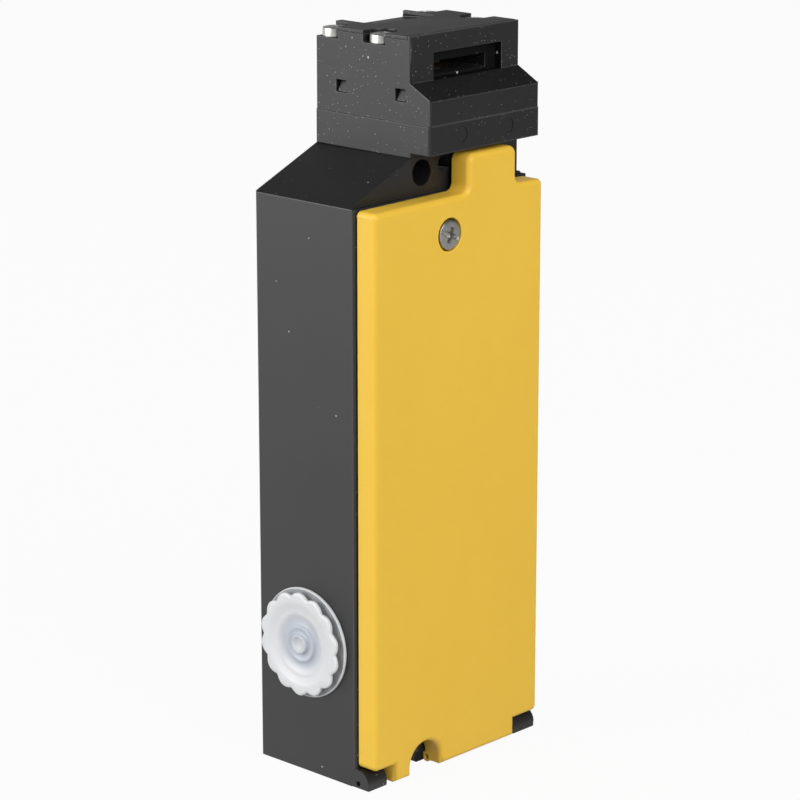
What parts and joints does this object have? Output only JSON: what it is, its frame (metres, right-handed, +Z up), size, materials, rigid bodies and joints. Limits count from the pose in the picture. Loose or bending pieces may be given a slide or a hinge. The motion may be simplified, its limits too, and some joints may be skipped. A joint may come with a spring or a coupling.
{
  "type": "tongue interlock switch",
  "caption": "Guard-door safety switch with a tongue-operated head, a solenoid lock inside and a hinged front cover.",
  "frame": {"origin": "middle of the body width, on the bottom edge of the back mounting face", "axes": "+Z up along the body to the head, +Y out of the back into the machine frame, cover faces -Y, +X to the right seen from the front"},
  "size_m": [0.055, 0.0334, 0.1573],
  "materials": {
    "body_black": "fine moulded satin",
    "head_black": "fine moulded satin",
    "cover_yellow": "smooth satin",
    "seal_rubber": "matte",
    "plated_steel": "bright zinc plate",
    "cam_steel": "bare ground steel",
    "yoke_steel": "dull zinc plate",
    "spring_steel": "bright drawn wire",
    "plug_milky": "milky translucent",
    "plunger_white": "smooth acetal",
    "bobbin_black": "moulded",
    "coil_tape": "polyester tape",
    "block_grey": "moulded",
    "contact_brass": "bright"
  },
  "bodies": {
    "case": {"housing": "body_black", "hinge_pins": "plated_steel", "dust_plug": "plug_milky", "head_base": "head_black", "head_body": "head_black", "head_plate": "head_black", "head_screws": "plated_steel", "cam_axle": "plated_steel", "neck_seal": "seal_rubber", "solenoid_yoke": "yoke_steel", "solenoid_bobbin": "bobbin_black", "solenoid_coil": "coil_tape", "solenoid_core": "yoke_steel", "armature_spring": "spring_steel", "position_contact_block": "block_grey", "position_contacts": "contact_brass", "plunger_spring": "spring_steel", "lock_contact_block": "block_grey", "lock_contacts": "contact_brass", "supply_terminal_block": "block_grey", "terminal_screws": "plated_steel", "terminal_clamps": "contact_brass"},
    "cover": {"cover": "cover_yellow", "cover_gasket": "seal_rubber", "cover_screw": "plated_steel"},
    "cam": {"cam_wheel": "cam_steel"},
    "plunger": {"plunger": "plunger_white", "position_slide": "plunger_white", "position_bridges": "contact_brass"},
    "lock": {"armature": "plated_steel", "lock_plate": "yoke_steel", "lock_slide": "plunger_white", "lock_bridges": "contact_brass"}
  },
  "joints": [
    {"name": "cover_hinge", "type": "hinge", "parent": "case", "child": "cover", "pos_m": [0, -0.02895, 0.0011], "axis": [1, 0, 0], "range_deg": [0, 100]},
    {"name": "cam_turn", "type": "hinge", "parent": "case", "child": "cam", "pos_m": [0.00835, -0.012, 0.14375], "axis": [-1, 0, 0], "range_deg": [0, 45]},
    {"name": "plunger_slide", "type": "slide", "parent": "case", "child": "plunger", "axis": [0, 0, 1], "range_m": [0, 0.0035], "deforming": ["plunger_spring"]},
    {"name": "lock_slide", "type": "slide", "parent": "case", "child": "lock", "axis": [-1, 0, 0], "range_m": [0, 0.003], "stiffness_N_per_m": 150, "springref_m": -0.002, "deforming": ["armature_spring"]}
  ],
  "couplings": [
    {"joint": "plunger_slide", "follows": "cam_turn", "m_per_rad": 0.0044563}
  ]
}
